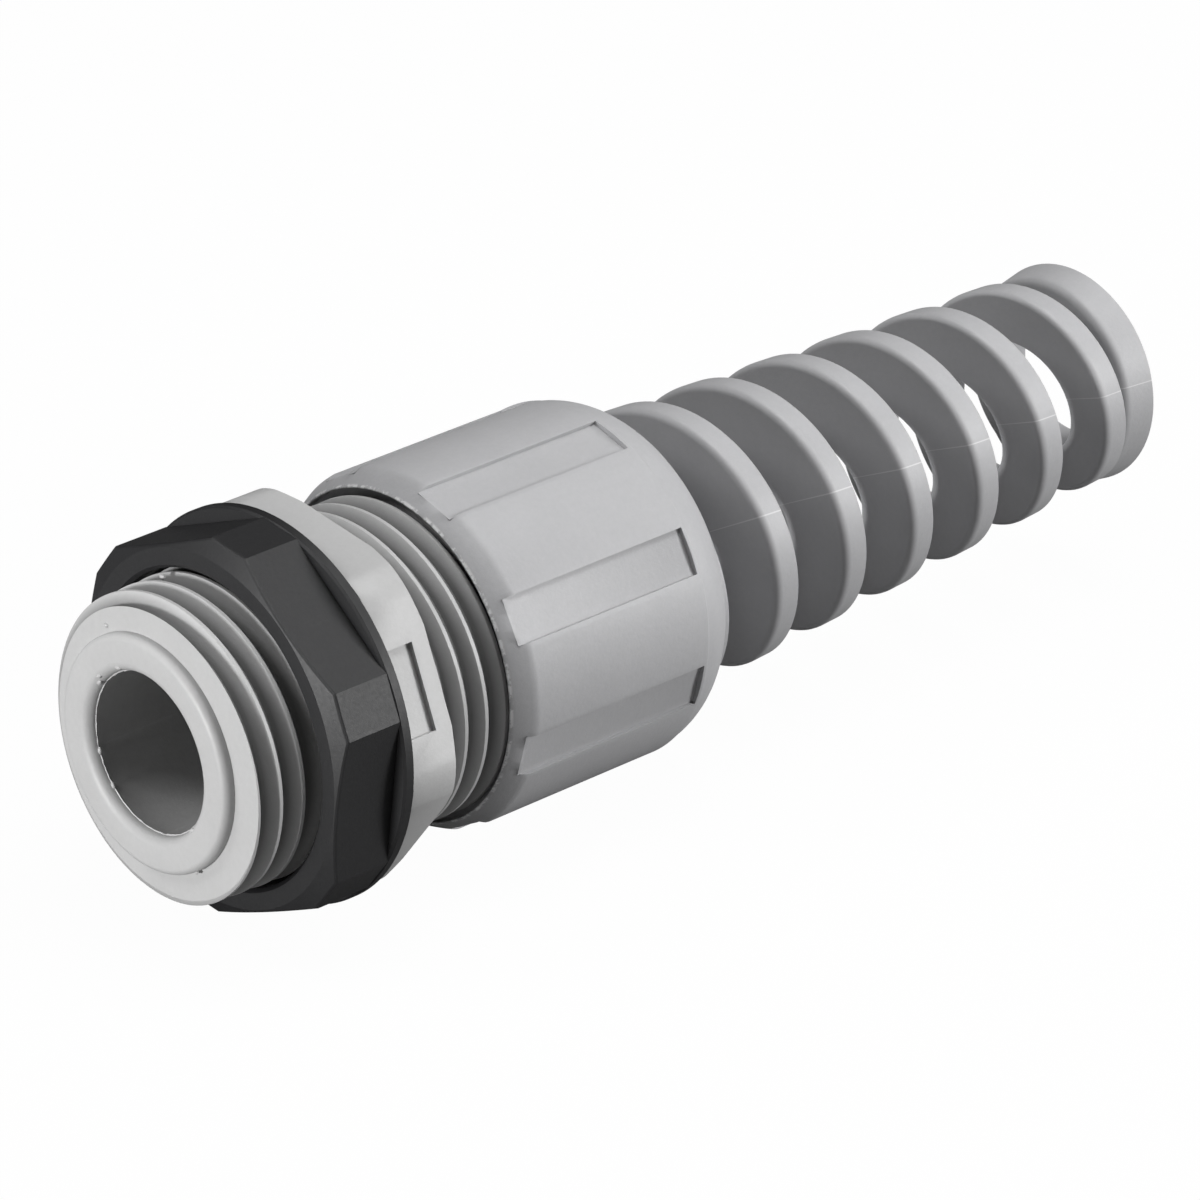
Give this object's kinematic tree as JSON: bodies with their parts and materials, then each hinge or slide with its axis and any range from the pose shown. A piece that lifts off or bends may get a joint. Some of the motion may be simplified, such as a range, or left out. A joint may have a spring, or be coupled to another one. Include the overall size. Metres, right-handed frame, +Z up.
{
  "type": "strain relief bushing",
  "caption": "Threaded nylon cable gland with a locknut, a ribbed dome nut over a rubber bushing, and a tapering spiral bend relief that ends in a plain ring.",
  "frame": {"origin": "centre of the flat ring at the entry end, on the axis of the cable bore, 0.8 mm behind the lip", "axes": "+X along the cable's path from the entry thread to the end of the spiral, +Z up, +Y to the side"},
  "size_m": [0.086, 0.027, 0.027],
  "materials": {
    "grey_nylon_body": "moulded satin",
    "grey_nylon_nut": "moulded satin",
    "black_nylon": "moulded satin",
    "black_rubber": "matte",
    "natural_nylon": "moulded satin"
  },
  "bodies": {
    "gland": {"gland_body": "grey_nylon_body", "sealing_bushing": "black_rubber"},
    "locknut": {"locknut": "black_nylon"},
    "slip_ring": {"slip_ring": "natural_nylon"},
    "dome_nut": {"spiral_dome_nut": "grey_nylon_nut"}
  },
  "joints": [
    {"name": "locknut_turn", "type": "hinge", "parent": "gland", "child": "locknut", "pos_m": [0.0075, 0, 0], "axis": [1, 0, 0], "range_deg": [-1080, 0]},
    {"name": "nut_travel", "type": "slide", "parent": "gland", "child": "slip_ring", "axis": [-1, 0, 0], "range_m": [-0.00525, 0.0044]},
    {"name": "nut_turn", "type": "hinge", "parent": "slip_ring", "child": "dome_nut", "pos_m": [0.0273, 0, 0], "axis": [-1, 0, 0], "range_deg": [-1080, 905]}
  ],
  "couplings": [
    {"joint": "nut_travel", "follows": "nut_turn", "m_per_rad": 0.00027852}
  ]
}
